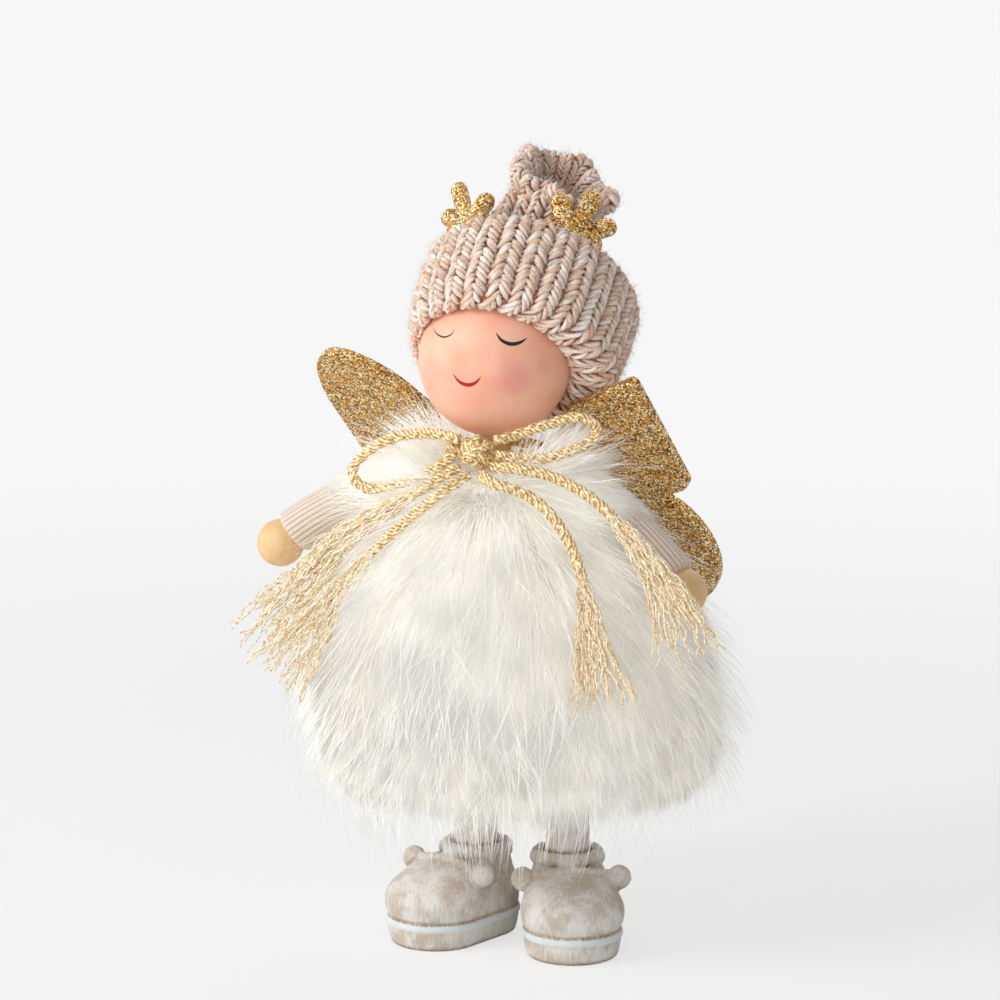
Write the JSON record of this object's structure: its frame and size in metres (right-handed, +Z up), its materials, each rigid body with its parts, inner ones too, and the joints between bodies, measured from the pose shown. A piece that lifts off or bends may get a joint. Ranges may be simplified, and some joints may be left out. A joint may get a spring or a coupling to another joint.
{
  "type": "plush angel ornament",
  "caption": "Standing plush angel ornament with a ball head, knit hat, fur dress, swinging bead-hand arms, glitter wing, cord bow and cast boots.",
  "frame": {"origin": "on the surface that the boots stand on, under the middle of the figure's box without its bow, tails and frays", "axes": "+Z up, the figure faces -Y, its own left hand is at +X"},
  "size_m": [0.123, 0.1108, 0.1994],
  "materials": {
    "cast_resin": "cast resin, whitewashed over brown",
    "white_wood": "whitewashed dowel",
    "plain_wood": "bare, lightly waxed",
    "stuffing": "stuffed cotton",
    "fur": "long ivory pile",
    "skin": "matt peach paint with a painted face",
    "sleeve_knit": "fine knit",
    "cotton": "twisted cotton cord",
    "hat_knit": "chunky marled rib knit",
    "thread": "twisted thread",
    "glitter": "gold glitter over stiff board",
    "felt": "felt",
    "gold_cord": "braided metallic thread",
    "gold_thread": "loose metallic threads"
  },
  "bodies": {
    "body": {"left_boot": "cast_resin", "right_boot": "cast_resin", "left_leg": "white_wood", "right_leg": "white_wood", "base_disc": "plain_wood", "body_core": "stuffing", "fur_dress": "fur", "neck_peg": "plain_wood", "head_ball": "skin", "hat": "hat_knit", "hat_gather_thread": "thread", "left_antler": "glitter", "right_antler": "glitter", "wing_plate": "glitter", "wing_pad": "felt", "neck_cord": "gold_cord", "bow_knot": "gold_cord", "right_bow_loop": "gold_cord", "left_bow_loop": "gold_cord", "right_outer_tail": "gold_cord", "right_inner_tail": "gold_cord", "left_inner_tail": "gold_cord", "left_outer_tail": "gold_cord", "right_outer_fray": "gold_thread", "right_inner_fray": "gold_thread", "left_inner_fray": "gold_thread", "left_outer_fray": "gold_thread"},
    "left_arm": {"left_sleeve": "sleeve_knit", "left_arm_cord": "cotton", "left_hand": "plain_wood"},
    "right_arm": {"right_sleeve": "sleeve_knit", "right_arm_cord": "cotton", "right_hand": "plain_wood"}
  },
  "joints": [
    {"name": "left_arm_lift", "type": "hinge", "parent": "body", "child": "left_arm", "pos_m": [0.02331, -0.01023, 0.115], "axis": [0, -1, 0], "range_deg": [0, 40]},
    {"name": "right_arm_lift", "type": "hinge", "parent": "body", "child": "right_arm", "pos_m": [-0.02029, -0.01023, 0.115], "axis": [0, 1, 0], "range_deg": [0, 40]}
  ]
}
